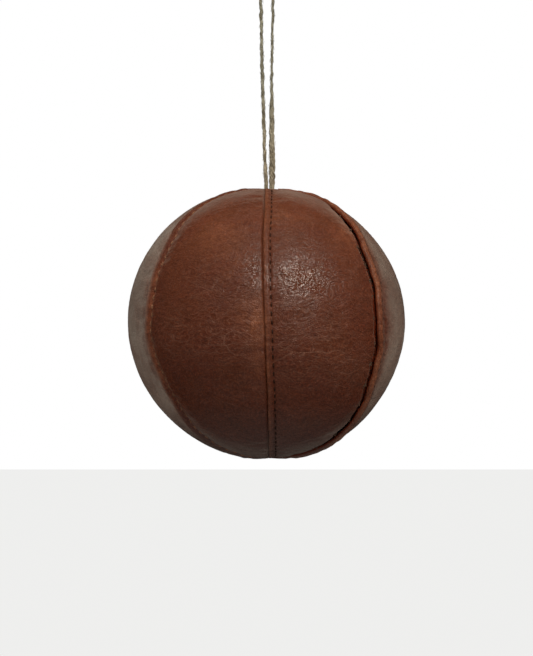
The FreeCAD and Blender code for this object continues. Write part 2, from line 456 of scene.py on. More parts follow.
def leather_relief(points, panel):
    """Height of the leather's own lumps and creases in mm, and how deep a point lies in a crease."""
    shifted = points + np.array([31.7, -12.9, 57.1]) * (panel + 1)
    warp = np.stack([noise(shifted * 0.09 + k * 9.1) for k in range(3)], axis=1)
    lumps = 0.22 * layered_noise(shifted * np.array([0.05, 0.05, 0.075]), 3)
    flow = shifted + 3.2 * warp
    long_cells = cell_edges(flow * np.array([0.16, 0.16, 0.34]))
    fine_cells = cell_edges((flow + 1.1 * warp[:, ::-1]) * np.array([0.42, 0.42, 0.85]) + 5.0)
    patchy = smooth(-0.15, 0.45, noise(shifted * 0.055 + 3.0))
    finer = smooth(-0.35, 0.35, noise(shifted * 0.085 + 13.0))
    long_crease = np.exp(-long_cells / 0.055) * (0.25 + 0.75 * patchy)
    fine_crease = np.exp(-fine_cells / 0.09) * (0.2 + 0.8 * finer)
    ripple = 0.075 * (1.0 - 2.0 * np.abs(layered_noise(flow * np.array([0.22, 0.22, 0.60]), 2)))
    height = lumps + ripple - 0.07 * long_crease - 0.035 * fine_crease
    return height, np.clip(long_crease + 0.2 * fine_crease, 0.0, 1.0)


STITCH_PITCH = 3.1


def pucker(latitude, distance, phase, depth):
    """Little pulls at right angles to a row of stitches, one to each stitch or two."""
    along = np.radians(latitude) * BALL_RADIUS
    once = along * 2.0 * math.pi / STITCH_PITCH
    pulls = np.sin(once / 2.0 + phase + 1.8 * np.sin(along * 0.23 + phase))
    return depth * (0.65 * pulls + 0.35 * np.sin(once + 1.3 * phase)) * np.exp(-np.abs(distance) / 2.6)


# Three kinds of place on the ball as (right, up, radius across, radius up, strength), in mm from its
# middle seen from the front; with each kind goes the strength of those scattered on the far side
SPOTS = {
    # Stretched or handled, and so warm and pale
    "pull": (0.45, [
        (-3.2, 0.5, 3.6, 8.5, 0.78),
        (-7.5, 3.0, 4.0, 8.0, 0.40),
        (-3.2, -12.0, 2.6, 8.0, 0.30),
        (-17.0, 31.0, 9.0, 7.0, 0.38),
        (-12.0, 24.0, 6.0, 9.0, 0.22),
        (29.0, 33.0, 6.0, 8.0, 0.42),
        (7.0, 38.0, 14.0, 5.0, 0.22),
        (24.0, -9.0, 12.0, 7.0, 0.10),
    ]),
    # Most creased
    "creased": (0.9, [
        (-14.0, -2.0, 15.0, 12.0, 1.0),
        (-32.0, -4.0, 9.0, 9.0, 0.8),
        (-20.0, 13.0, 9.0, 9.0, 0.7),
        (15.0, -8.0, 16.0, 13.0, 1.0),
        (29.0, -16.0, 10.0, 11.0, 0.9),
        (14.0, 10.0, 16.0, 8.0, 0.6),
        (-12.0, -26.0, 16.0, 9.0, 0.35),
        (0.0, 36.0, 30.0, 9.0, 0.25),
    ]),
    # Where the grain stands up
    "grainy": (0.6, [
        (12.0, 15.5, 12.0, 7.5, 1.0),
        (-5.0, 18.5, 3.5, 6.0, 0.9),
        (-14.0, 14.0, 10.0, 8.0, 0.35),
    ]),
}


def spotted(points, kind):
    """Strength 0 to 1 of one kind of place at points in mm."""
    behind, spots = SPOTS[kind]
    x, y, z = points.T
    total = np.zeros(len(points))
    for right, up, across, tall, strength in spots:
        spot = bump(x, right, across) * bump(z, up, tall)
        total = np.maximum(total, strength * spot * (y < 0.0))
    scattered = smooth(-0.1, 0.7, layered_noise(points * 0.075 + 71.0, 3)) * smooth(-5.0, 15.0, y)
    return np.maximum(total, behind * scattered)


def worn_edge(panel, latitude, from_left):
    """Wear on the folded edge of the panel and on its turned strip, if that is wide."""
    lap = lap_of(panel)
    wander = noise_along(latitude * 0.12, 7.7 * panel, latitude * 0.01)
    edge = (0.45 + 0.25 * wander) * (1.0 - smooth(lap.nose * 0.8, lap.nose * 2.72, from_left))
    if lap is OPEN_LAP:
        edge = edge * 1.5
    if lap is WIDE_LAP:
        strip = (0.44 + 0.30 * wander) * (1.0 - smooth(3.8, 5.2, from_left))
        edge = np.maximum(edge, strip * smooth(34.0, 20.0, np.abs(latitude + 4.0)))
    return np.clip(edge, 0.0, 1.0)


def grey_fold_edge(panel, latitude, from_left):
    """How much grey, in the painted sheen's colour, the widest strip's folded edge takes near the
    ball's middle height.
    """
    fold_grey = 0.36 * (1.0 - smooth(0.3, 3.0, from_left)) * smooth(48.0, 30.0, np.abs(latitude + 2.0))
    return fold_grey * (lap_of(panel) is WIDE_LAP)


def panel_height(panel, latitude, longitude):
    """Height of a panel's outer face above the even ball, with the facts its leather colour needs."""
    scale = row_length(latitude)
    left = (longitude - seam_course(panel, latitude)) * scale
    right = (seam_course(panel + 1, latitude) - longitude) * scale
    width = np.maximum(left + right, 0.01)
    squeeze = narrowing(width)
    from_left, from_right = left / squeeze, right / squeeze
    own = lap_of(panel)
    relief, crease = leather_relief(ball_point(latitude, longitude, np.zeros(len(latitude))), panel)
    fade = smooth(0.2, 3.0, from_right) * smooth(0.0, 3.5, from_left)
    height = swell_at(panel, latitude, left / width) + relief * (0.25 + 0.75 * fade)
    height = height + squeeze * lip_stand(own, latitude) * lip_height(own, from_left, 0.22)
    height = height + squeeze * under_height(lap_of(panel + 1), from_right)
    pulls = pucker(latitude, from_left - own.stitch_line, 0.7 * panel, 0.07)
    height = height + pulls * smooth(0.3, 1.2, from_left)
    pulls = pucker(latitude, from_right, 1.9 * panel, 0.05)
    return height + pulls * smooth(0.0, 1.0, from_right), crease, from_left, from_right


# ------------------------ how the filling swells the panels

SWELL_ROWS = 72
SWELL_COLUMNS = 20
SWELL_ROUND = SEAMS * SWELL_COLUMNS
SWELL_SCALE = 0.01
SWELL_FRAMES = 20
SWELL_LATITUDES = np.linspace(-85.0, 82.0, SWELL_ROWS)
SWELL_MIDDLE = 0.5
SWELL_LIMITS = (-0.45, 1.3)
CLOTH = {
    "quality": 7, "mass": 0.3, "air_damping": 4.0, "tension_stiffness": 18.0,
    "compression_stiffness": 18.0, "shear_stiffness": 8.0, "bending_stiffness": 0.6,
    "shrink_min": -0.035, "use_pressure": True, "uniform_pressure_force": 4.0,
    "vertex_group_mass": "seams",
}


def simulate_swell():
    """Height in mm of the leather, blown out as cloth from inside and held along the six seams.

    The result is a grid of latitudes by shares across the six panels. It is worked ten times as big,
    because cloth settles better at that size.
    """
    share = np.arange(SWELL_COLUMNS) / SWELL_COLUMNS
    folds = np.array([seam_course(seam, SWELL_LATITUDES) for seam in range(SEAMS + 1)])
    lon = folds[:-1, :, None] + share * (folds[1:] - folds[:-1])[:, :, None]
    lon = lon.transpose(1, 0, 2).reshape(-1)
    held = np.tile(share == 0.0, (SWELL_ROWS, SEAMS))
    held[[0, -1]] = True
    before = ball_point(np.repeat(SWELL_LATITUDES, SWELL_ROUND), lon, np.zeros(len(lon)))
    mesh = bpy.data.meshes.new("swell")
    faces = tube_faces(SWELL_ROWS, SWELL_ROUND, ends="open")
    mesh.from_pydata((before * SWELL_SCALE).tolist(), [], faces)
    thing = bpy.data.objects.new("swell", mesh)
    scene = bpy.context.scene
    scene.collection.objects.link(thing)
    group = thing.vertex_groups.new(name="seams")
    group.add(np.flatnonzero(held).tolist(), 1.0, "REPLACE")
    cloth = thing.modifiers.new("cloth", "CLOTH")
    for name, value in CLOTH.items():
        setattr(cloth.settings, name, value)
    cloth.settings.effector_weights.gravity = 0.0
    cloth.point_cache.frame_start = 1
    cloth.point_cache.frame_end = SWELL_FRAMES
    for step in range(1, SWELL_FRAMES + 1):
        scene.frame_set(step)
    seen = thing.evaluated_get(bpy.context.evaluated_depsgraph_get())
    after = np.array([v.co for v in seen.to_mesh().vertices]) / SWELL_SCALE
    seen.to_mesh_clear()
    bpy.data.objects.remove(thing)
    bpy.data.meshes.remove(mesh)
    scene.frame_set(1)
    rise = np.linalg.norm(after, axis=1) - np.linalg.norm(before, axis=1)
    return rise.reshape(SWELL_ROWS, SWELL_ROUND)


def settled_swell():
    """The simulated heights, scaled to the fullness of this ball and capped."""
    rise = simulate_swell()
    middles = rise[:, SWELL_COLUMNS // 2::SWELL_COLUMNS]
    middle = middles[SWELL_ROWS // 5:-SWELL_ROWS // 5].mean()
    return np.clip(rise * SWELL_MIDDLE / middle, *SWELL_LIMITS)


def cubic_weights(t):
    return [
        -0.5 * t + t ** 2 - 0.5 * t ** 3,
        1.0 - 2.5 * t ** 2 + 1.5 * t ** 3,
        0.5 * t + 2.0 * t ** 2 - 1.5 * t ** 3,
        -0.5 * t ** 2 + 0.5 * t ** 3,
    ]


def swell_at(panel, latitude, share):
    """The settled height at latitudes and shares across a panel, read smoothly from the grid."""
    rows = np.clip(np.interp(latitude, SWELL_LATITUDES, np.arange(SWELL_ROWS)), 0.0, SWELL_ROWS - 1.001)
    columns = (panel % SEAMS + np.clip(share, 0.0, 1.0)) * SWELL_COLUMNS
    row, column = np.floor(rows).astype(int), np.floor(columns).astype(int)
    total = np.zeros(len(rows))
    for i, row_weight in enumerate(cubic_weights(rows - row)):
        near_row = np.clip(row + i - 1, 0, SWELL_ROWS - 1)
        for j, column_weight in enumerate(cubic_weights(columns - column)):
            near_column = (column + j - 1) % SWELL_ROUND
            total += row_weight * column_weight * SWELL[near_row, near_column]
    return total


# ------------------------ panels

ROWS = 420
FACE_COLUMNS = 124
POLE_HOLE = 3.3
BOTTOM_HOLE = 0.7
TURNED_HEM = 4.6
TONGUE = 4.1


def hole_edge(longitude, aside, hole, ball):
    """Latitudes where an upright hole, aside from the middle, cuts a ball; all but degrees in mm."""
    lon = np.radians(longitude)
    reach = aside * np.sin(lon) + np.sqrt(hole ** 2 - (aside * np.cos(lon)) ** 2)
    return 90.0 - np.degrees(np.arcsin(reach / ball))


def top_edge(longitude):
    return hole_edge(longitude, HANG_X + math.sin(AXIS_LEAN) * HALF_HEIGHT, POLE_HOLE, HALF_WIDTH)


def section(panel):
    """The closed section across a panel as (share of the way across, mm right, height, on the face).

    It runs over the face from the fold to the next seam, under the next lip, back along the inside
    and round the fold. Share picks the longitude between the two seams; mm is added to that.
    """
    own, after = lap_of(panel), lap_of(panel + 1)
    face = np.linspace(0.0, 1.0, FACE_COLUMNS)
    face = 0.5 - 0.5 * np.cos(math.pi * (0.08 + 0.84 * face))
    face = (face - face[0]) / (face[-1] - face[0])
    loop = [(share, own.nose * (1.0 - share), 0.0, 1) for share in face]
    bottom = -after.drop
    loop += [(1.0, reach, bottom - 0.04, 0) for reach in np.linspace(0.8, TONGUE - 0.3, 6)]
    loop.append((1.0, TONGUE, bottom - 0.25, 0))
    loop += [(1.0, reach, bottom - HEM, 0) for reach in np.linspace(TONGUE - 0.3, -0.6, 6)]
    loop.append((1.0, -after.drop_end, bottom * 0.55 - LEATHER, 0))
    loop += [(share, 0.0, -LEATHER, 0) for share in np.linspace(0.93, 0.12, 12)]
    under = own.crest - 2.0 * own.nose
    loop += [(0.0, reach, under, 0) for reach in np.linspace(TURNED_HEM, own.nose, 5)]
    for turn in np.radians(np.linspace(-80.0, -258.0, 13)):
        nose_mm = own.nose + own.nose * math.cos(turn)
        loop.append((0.0, nose_mm, own.crest - own.nose + own.nose * math.sin(turn), 0))
    return np.array(loop).T


def make_panel(panel, material):
    share, offset, level, on_face = section(panel)
    on_face = on_face > 0.0
    own = lap_of(panel)
    columns = len(share)
    in_fold, in_lap = share < 0.01, share > 0.99
    # The underside of the fold, which is in shade; its colour there is painted lighter red
    under_nose = smooth(own.crest - 0.55 * own.nose, own.crest - 1.5 * own.nose, level)
    under_nose = under_nose * (in_fold & ~on_face)
    on_outside = on_face | (in_fold & (level > own.crest - 2.0 * own.nose + 0.2))
    base_left, base_right = (seam_course(seam, np.array([90.0]))[0] for seam in (panel, panel + 1))
    top = top_edge(base_left + share * (base_right - base_left))
    bottom = -90.0 + math.degrees(BOTTOM_HOLE / HALF_WIDTH)
    rings, facts = [], []
    for step in np.linspace(0.0, 1.0, ROWS):
        latitude = bottom + (top - bottom) * step
        scale = row_length(latitude)
        start, end = seam_course(panel, latitude), seam_course(panel + 1, latitude)
        squeeze = narrowing((end - start) * scale)
        longitude = start + share * (end - start) + offset * squeeze / scale
        height, crease, from_left, from_right = panel_height(panel, latitude, longitude)
        bent = pucker(latitude, np.full(columns, 0.6), 0.4 * panel, 0.09)
        curled = own.crest * squeeze * (lip_stand(own, latitude) - 1.0)
        inner = level * squeeze + (bent + curled) * in_fold
        points = ball_point(latitude, longitude, np.where(on_face, height, inner))
        from_fold = np.where(on_face, from_left, 0.3)
        wear = np.maximum(spotted(points, "pull"), worn_edge(panel, latitude, from_fold))
        rings.append(points)
        facts.append({
            "crease": np.where(on_face, crease, 0.0),
            "pull": np.where(on_outside, wear, 0.0),
            "creased": spotted(points, "creased"),
            "grainy": spotted(points, "grainy"),
            "fold_grey": grey_fold_edge(panel, latitude, from_fold),
            "shaded": under_nose,
            "from_fold": np.where(on_face | in_fold, from_fold, 9.0),
            "from_next": np.where(on_face, from_right, np.where(in_lap, 0.0, 9.0)),
        })
    thing = new_mesh_object("leather_panel_%d" % (panel + 1), np.concatenate(rings),
                            tube_faces(ROWS, columns), material)
    for name in facts[0]:
        attribute = thing.data.attributes.new(name, "FLOAT", "POINT")
        values = np.concatenate([row[name] for row in facts])
        attribute.data.foreach_set("value", values.astype(np.float32))
    return thing


# ------------------------ materials


class Shading:
    """The nodes of a material or a world, with a short name for each kind that is used here."""

    def __init__(self, owner, shader):
        owner.use_nodes = True
        self.owner = owner
        self.tree = owner.node_tree
        self.shader = self.tree.nodes[shader]

    def give(self, socket, value):
        """Links a socket to another node's output, or sets its value."""
        if isinstance(value, bpy.types.NodeSocket):
            self.tree.links.new(value, socket)
        elif socket.type == "RGBA":
            socket.default_value = (*value, 1.0)
        else:
            socket.default_value = value

    def add(self, kind, inputs, output=0, **settings):
        """Adds a node and gives back one of its outputs."""
        made = self.tree.nodes.new("ShaderNode" + kind)
        for name, value in settings.items():
            setattr(made, name, value)
        for name, value in inputs.items():
            self.give(made.inputs[name], value)
        return made.outputs[output]

    def surface(self, values):
        for name, value in values.items():
            self.give(self.shader.inputs[name], value)
        return self.owner

    def show_to_camera(self, other, end):
        """The camera sees another shader straight on; as light, the first one stays."""
        seen = self.add("LightPath", {}, "Is Camera Ray")
        both = self.add("MixShader", {0: seen, 1: self.shader.outputs[0], 2: other})
        self.tree.links.new(both, self.tree.nodes[end].inputs["Surface"])

    def millimetres(self):
        where = self.add("TexCoord", {}, "Object")
        return self.add("VectorMath", {0: where, "Scale": 1.0 / MM}, operation="SCALE")

    def height(self, vector):
        return self.add("SeparateXYZ", {0: vector}, "Z")

    def noise(self, vector, scale, detail, roughness=0.5, distortion=0.0):
        inputs = {"Vector": vector, "Scale": scale, "Detail": detail, "Roughness": roughness,
                  "Distortion": distortion}
        return self.add("TexNoise", inputs, "Fac")

    def waves(self, vector, direction, scale, distortion):
        inputs = {"Vector": vector, "Scale": scale, "Distortion": distortion}
        return self.add("TexWave", inputs, "Fac", wave_type="BANDS", bands_direction=direction)

    def cell_borders(self, vector, scale):
        """Distance to the border between the cells of a stretched jittered lattice."""
        inputs = {"Vector": self.stretch(vector, scale), "Scale": 1.0}
        return self.add("TexVoronoi", inputs, "Distance", feature="DISTANCE_TO_EDGE")

    def stretch(self, vector, scale):
        return self.add("VectorMath", {0: vector, 1: scale}, operation="MULTIPLY")

    def shift(self, vector, amount):
        return self.add("VectorMath", {0: vector, 1: amount}, operation="ADD")

    def remap(self, value, low, high, to_low=0.0, to_high=1.0):
        ends = {"From Min": low, "From Max": high, "To Min": to_low, "To Max": to_high}
        return self.add("MapRange", {"Value": value, **ends}, "Result")

    def maths(self, operation, first, second):
        return self.add("Math", {0: first, 1: second}, operation=operation)

    def times(self, first, second):
        return self.maths("MULTIPLY", first, second)

    def inverse(self, value):
        return self.maths("SUBTRACT", 1.0, value)

    def mix(self, share, first, second, blend="MIX"):
        return self.add("Mix", {0: share, 6: first, 7: second}, 2, data_type="RGBA", blend_type=blend)

    def fact(self, name):
        """A value that the mesh carries."""
        return self.add("Attribute", {}, "Fac", attribute_name=name)

    def bumps(self, rows):
        """Bumps one over the other, from (height, strength, distance in metres)."""
        normal = None
        for height, strength, distance in rows:
            inputs = {"Height": height, "Strength": strength, "Distance": distance}
            if normal is not None:
                inputs["Normal"] = normal
            normal = self.add("Bump", inputs, "Normal")
        return normal


def new_material(name):
    return Shading(bpy.data.materials.new(name), "Principled BSDF")


LEATHER_DARK = (0.044, 0.0088, 0.0024)
LEATHER_MID = (0.112, 0.0228, 0.0064)
LEATHER_WARM = (0.168, 0.042, 0.0125)
LEATHER_OLIVE = (0.096, 0.0255, 0.0066)
LEATHER_CRIMSON = (0.116, 0.0200, 0.0090)
LEATHER_WORN = (0.300, 0.095, 0.036)
LEATHER_LINE = (0.252, 0.112, 0.068)
# The painted sheen's colour: a pale reflection painted into the leather where it is seen at a glance
LEATHER_PAINTED_SHEEN = (0.305, 0.235, 0.180)
# Painted reflection: the pale grey painted into the leather low down, for light reflected from below
LEATHER_PAINTED_LOW_REFLECTION = (0.072, 0.078, 0.074)
# Painted light: a lighter red painted into the shaded gap under the open lip, for light that reaches
# into it
LEATHER_PAINTED_GAP_LIGHT = (0.170, 0.025, 0.008)
# Painted light: tints for the colour by height, warmer low down and bluer high up, for the light that
# falls there
PAINTED_LOW_TINT = (1.0, 0.90, 0.86)
PAINTED_HIGH_TINT = (0.95, 1.01, 1.16)

# The mottling, from broad to fine: what it follows, how it is stretched, the noise's scale, detail
# and roughness, the noise where it starts and where it is full, how strong it is, and its tone
MOTTLES = [
    ("flow", (1.0, 1.0, 1.0), 0.045, 4.0, 0.60, 0.36, 0.66, 0.45, LEATHER_WARM),
    ("place", (1.0, 1.0, 1.0), 0.07, 3.0, 0.60, 0.40, 0.62, 0.45, LEATHER_CRIMSON),
    ("flow", (1.0, 1.0, 1.0), 0.13, 3.0, 0.60, 0.46, 0.66, 0.55, LEATHER_OLIVE),
    ("flow", (1.0, 1.0, 1.0), 0.22, 5.0, 0.65, 0.35, 0.68, 0.32, LEATHER_DARK),
    ("flow", (0.9, 0.9, 1.3), 0.55, 2.5, 0.75, 0.40, 0.62, 0.30, LEATHER_WARM),
    ("place", (1.0, 1.0, 1.0), 0.95, 3.0, 0.70, 0.44, 0.62, 0.42, LEATHER_WARM),
    ("flow", (1.2, 1.2, 2.1), 1.0, 3.0, 0.65, 0.44, 0.66, 0.50, LEATHER_DARK),
    ("drift", (1.0, 1.0, 1.35), 1.6, 2.0, 0.60, 0.47, 0.32, 0.40, LEATHER_DARK),
    ("drift", (1.0, 1.0, 1.35), 1.6, 2.0, 0.60, 0.53, 0.70, 0.26, LEATHER_LINE),
]

# How far the painted sheen, a pale reflection painted into the colour where the leather is seen at a
# glance, reaches on each panel: where it starts, where it is full, how strong it is, and how much of
# its paleness is left on the upper half
PAINTED_SHEENS = [
    (0.54, 0.84, 0.55, 1.0),
    (0.56, 0.82, 0.55, 1.0),
    (0.34, 0.62, 0.76, 0.64),
    (0.42, 0.75, 0.60, 1.0),
    (0.42, 0.75, 0.60, 1.0),
    (0.30, 0.54, 0.90, 0.76),
]

# How close together each panel's long creases are, across it and up it: one over mm
LONG_CREASES = [(0.082, 0.27), (0.072, 0.28), (0.09, 0.25), (0.08, 0.26), (0.10, 0.25), (0.09, 0.26)]


def leather_ways(s, where, panel):
    """The places that the noises follow: the panel's own, and two that wander along the leather."""
    place = s.shift(where, tuple(step * (panel + 1) for step in (37.0, -23.0, 11.0)))
    warp = s.add("TexNoise", {"Vector": place, "Scale": 0.10, "Detail": 1.6}, "Color")
    flow = s.shift(place, s.stretch(warp, (9.0, 9.0, 9.0)))
    drift = s.shift(place, s.stretch(warp, (2.5, 2.5, 6.5)))
    return {"place": place, "flow": flow, "drift": drift}


def leather_browns(s, ways):
    """The leather's own colour, and its broadest clouds."""
    colour, clouds = LEATHER_MID, None
    for follows, stretch, scale, detail, roughness, low, high, share, tone in MOTTLES:
        vector = s.stretch(ways[follows], stretch)
        amount = s.remap(s.noise(vector, scale, detail, roughness), low, high)
        colour = s.mix(s.times(amount, share), colour, tone)
        if clouds is None:
            clouds = amount
    return colour, clouds


def leather_creases(s, drift, clouds, panel):
    """How strong a pale crease line is: long ones, short ones and fine ones, and those of the mesh."""
    creased = s.fact("creased")
    streaks = s.noise(s.stretch(drift, (0.08, 0.08, 0.30)), 1.0, 2.0)
    other_streaks = s.noise(s.stretch(drift, (0.13, 0.13, 0.45)), 1.0, 2.0)
    across, up = LONG_CREASES[panel]
    rows = [
        ((across, across, up), 0.040, s.remap(streaks, 0.40, 0.54), 0.80),
        ((0.19, 0.19, 0.64), 0.065, s.remap(other_streaks, 0.42, 0.56), 0.70),
        ((0.34, 0.34, 0.78), 0.085, s.remap(clouds, 0.0, 0.5, 0.35, 1.0), 0.42),
    ]
    lines = s.times(s.fact("crease"), 0.15)
    for scale, width, mask, strength in rows:
        line = s.remap(s.cell_borders(drift, scale), width, 0.0)
        line = s.times(s.times(line, s.times(mask, creased)), strength)
        lines = s.maths("MAXIMUM", lines, line)
    return lines


def painted_sheen(s, flow, height, panel):
    """How strong the painted sheen is: a pale reflection painted in where the leather is seen at a
    glance, least near its folds and its points.
    """
    start, full, strength, upper = PAINTED_SHEENS[panel]
    facing = s.add("LayerWeight", {"Blend": 0.5}, "Facing")
    veil = s.remap(facing, start, full, 0.0, strength)
    veil = s.times(veil, s.remap(s.fact("from_fold"), 1.5, 6.5, 0.15, 1.0))
    veil = s.times(veil, s.remap(s.noise(flow, 0.10, 4.0, 0.6), 0.36, 0.62, 0.62, 1.0))
    if upper == 1.0:
        return s.times(veil, s.remap(height, 27.0, 40.0, 1.0, 0.76))
    from_middle = s.maths("ABSOLUTE", height, 0.0)
    veil = s.times(veil, s.remap(from_middle, 33.0, 44.0, 1.0, 0.40))
    return s.times(veil, s.remap(height, -8.0, -28.0, 1.0, 0.78))


def leather_material(name, panel):
    """Waxed pull-up leather: fine pale crease lines, warm where it is stretched.

    Painted into its colour are a pale sheen at a glance, a pale reflection low down, a tint by height
    for the light, and light in the closing seam's gap.
    """
    s = new_material(name)
    where = s.millimetres()
    height = s.height(where)
    ways = leather_ways(s, where, panel)
    place, flow, drift = ways["place"], ways["flow"], ways["drift"]

    colour, clouds = leather_browns(s, ways)
    # Painted light: the colour is tinted by height, warmer low down and bluer high up, for the light
    # that falls there
    painted_tint = s.mix(s.remap(height, -6.0, 26.0), PAINTED_LOW_TINT, PAINTED_HIGH_TINT)
    colour = s.mix(1.0, colour, painted_tint, "MULTIPLY")
    broken = s.remap(s.noise(place, 0.42, 3.0, 0.6), 0.34, 0.60, 0.25, 1.0)
    colour = s.mix(s.times(s.fact("pull"), broken), colour, LEATHER_WORN)
    lines = leather_creases(s, drift, clouds, panel)
    colour = s.mix(lines, colour, LEATHER_LINE)
    grain_line = s.remap(s.cell_borders(flow, (0.95, 0.95, 1.7)), 0.0, 0.20)
    colour = s.mix(s.times(s.inverse(grain_line), 0.44), colour, LEATHER_DARK)

    # Painted sheen: a pale reflection painted into the colour at a glance, less pale on the upper half
    # of some panels
    darker = tuple(channel * PAINTED_SHEENS[panel][3] for channel in LEATHER_PAINTED_SHEEN)
    pale = s.mix(s.remap(height, -7.0, 9.0), LEATHER_PAINTED_SHEEN, darker)
    colour = s.mix(painted_sheen(s, flow, height, panel), colour, pale)
    # The widest strip's folded edge is greyed in the painted sheen's colour
    colour = s.mix(s.fact("fold_grey"), colour, LEATHER_PAINTED_SHEEN)
    # Painted reflection: greyer towards the bottom, for light reflected from below
    colour = s.mix(s.remap(height, -28.0, -46.0, 0.0, 0.42), colour, LEATHER_PAINTED_LOW_REFLECTION)
    # Painted light: the leather just before the open lip is painted lighter red where it goes under it
    if (panel + 1) % SEAMS == CLOSING:
        colour = s.mix(s.remap(s.fact("from_next"), 0.1, 1.0, 0.60, 0.0), colour, LEATHER_PAINTED_GAP_LIGHT)
    # Painted light: the shaded underside of the open lip's fold is painted lighter red
    if panel == CLOSING:
        colour = s.mix(s.times(s.fact("shaded"), 0.9), colour, LEATHER_PAINTED_GAP_LIGHT)

    grainy = s.fact("grainy")
    rough = s.remap(s.noise(flow, 0.3, 4.0, 0.6), 0.3, 0.7, 0.38, 0.50)
    ridges = s.noise(s.stretch(drift, (0.26, 0.26, 0.80)), 1.0, 3.0, 0.55, 0.3)
    pebbles = s.add("TexVoronoi", {"Vector": s.stretch(drift, (0.86, 0.86, 1.20)), "Scale": 1.0,
                                   "Smoothness": 0.6}, "Distance", feature="SMOOTH_F1")
    normal = s.bumps([
        (s.times(ridges, s.remap(grainy, 0.1, 0.8, 1.0, 0.45)), 1.0, 0.00034),
        (s.times(pebbles, s.remap(grainy, 0.0, 0.8, 0.16, 1.0)), 1.0, 0.00030),
        (s.noise(s.stretch(drift, (1.0, 1.0, 1.5)), 1.15, 2.0, 0.6), 1.0, 0.00015),
        (s.inverse(lines), 0.5, 0.00008),
        (grain_line, 0.55, 0.00008),
        (s.noise(place, 4.0, 3.0, 0.6), 0.30, 0.00005),
    ])
    return s.surface({
        "Base Color": colour,
        "Roughness": s.maths("SUBTRACT", rough, s.times(grainy, 0.20)),
        "Specular IOR Level": s.remap(grainy, 0.0, 0.7, 0.38, 0.95),
        "Normal": normal,
    })


def thread_material(name, dark, light):
    """Waxed sewing thread with its twist."""
    s = new_material(name)
    place = s.millimetres()
    twist = s.waves(place, "DIAGONAL", 1.6, 1.2)
    dirt = s.noise(place, 0.9, 3.0)
    colour = s.mix(s.times(dirt, 0.4), s.mix(twist, dark, light), dark)
    return s.surface({"Base Color": colour, "Roughness": 0.55, "Specular IOR Level": 0.2,
                      "Normal": s.bumps([(twist, 0.5, 0.0001)])})


def fibre_material(name, dark, light, scale, sheen):
    """Textile: mottled fibres with a matt, slightly lit edge."""
    s = new_material(name)
    place = s.millimetres()
    fibres = s.noise(s.stretch(place, (3.0, 3.0, 0.9)), scale, 5.0, 0.7, 0.6)
    tufts = s.noise(place, scale * 0.2, 3.0)
    colour = s.mix(s.remap(fibres, 0.32, 0.68), dark, light)
    colour = s.mix(s.times(s.remap(tufts, 0.4, 0.7), 0.35), colour, dark)
    return s.surface({"Base Color": colour, "Roughness": 0.85, "Specular IOR Level": 0.2,
                      "Sheen Weight": sheen, "Sheen Roughness": 0.5,
                      "Normal": s.bumps([(fibres, 0.6, 0.0002)])})


def twine_material(name):
    """Raw jute: greener and darker higher up, paler and yellower near the ball."""
    s = new_material(name)
    place = s.millimetres()
    fibres = s.noise(s.stretch(place, (3.0, 3.0, 0.9)), 1.1, 5.0, 0.7, 0.6)
    tufts = s.noise(s.stretch(place, (1.0, 1.0, 0.6)), 0.5, 3.0)
    strand = s.remap(fibres, 0.34, 0.66)
    low = s.mix(strand, (0.17, 0.135, 0.080), (0.62, 0.535, 0.385))
    high = s.mix(strand, (0.10, 0.094, 0.062), (0.43, 0.400, 0.295))
    colour = s.mix(s.remap(s.height(place), 62.0, 88.0), low, high)
    colour = s.mix(s.times(s.remap(tufts, 0.42, 0.62), 0.55), colour, (0.11, 0.088, 0.052))
    return s.surface({"Base Color": colour, "Roughness": 0.85, "Specular IOR Level": 0.2,
                      "Normal": s.bumps([(fibres, 0.6, 0.0002)])})


def weave_material(name, dark, light, threads_per_mm):
    """Plain cotton weave."""
    s = new_material(name)
    place = s.millimetres()
    cloth = s.times(s.waves(place, "X", threads_per_mm, 0.4), s.waves(place, "Z", threads_per_mm, 0.4))
    return s.surface({"Base Color": s.mix(cloth, dark, light), "Roughness": 0.9,
                      "Normal": s.bumps([(cloth, 0.6, 0.0001)])})


def steel_material(name):
    """Zinc-plated steel with fine scratches."""
    s = new_material(name)
    scratches = s.noise(s.stretch(s.millimetres(), (6.0, 0.6, 0.6)), 1.5, 4.0, 0.7)
    return s.surface({"Base Color": (0.60, 0.61, 0.63), "Metallic": 1.0,
                      "Roughness": s.remap(scratches, 0.3, 0.7, 0.25, 0.45),
                      "Normal": s.bumps([(scratches, 0.15, 0.00005)])})


PANEL_LEATHER = [leather_material("leather_%d" % (k + 1), k) for k in range(SEAMS)]
THREAD = thread_material("brown_thread", (0.014, 0.0045, 0.002), (0.055, 0.019, 0.009))
# Painted light: a lighter copy of the brown thread, for the lit stitches of the widest seam
PAINTED_LIT_THREAD = thread_material("painted_lit_thread", (0.10, 0.040, 0.019), (0.36, 0.165, 0.080))
HAND_THREAD = thread_material("hand_thread", (0.03, 0.014, 0.008), (0.15, 0.085, 0.052))
JUTE = twine_material("jute")
FILLING = fibre_material("fibre", (0.45, 0.43, 0.38), (0.80, 0.78, 0.72), 0.8, 0.4)
ROLLED = fibre_material("rolled_cloth", (0.14, 0.13, 0.14), (0.40, 0.38, 0.37), 0.7, 0.2)
COTTON = weave_material("cotton", (0.42, 0.38, 0.30), (0.68, 0.63, 0.53), 1.2)
STEEL = steel_material("zinc_steel")
PATCH_LEATHER = fibre_material("patch_leather", (0.08, 0.035, 0.018), (0.20, 0.10, 0.05), 1.2, 0.1)

# ------------------------ stitches

STITCH_LENGTH = 1.75
STITCH_RADIUS = 0.27
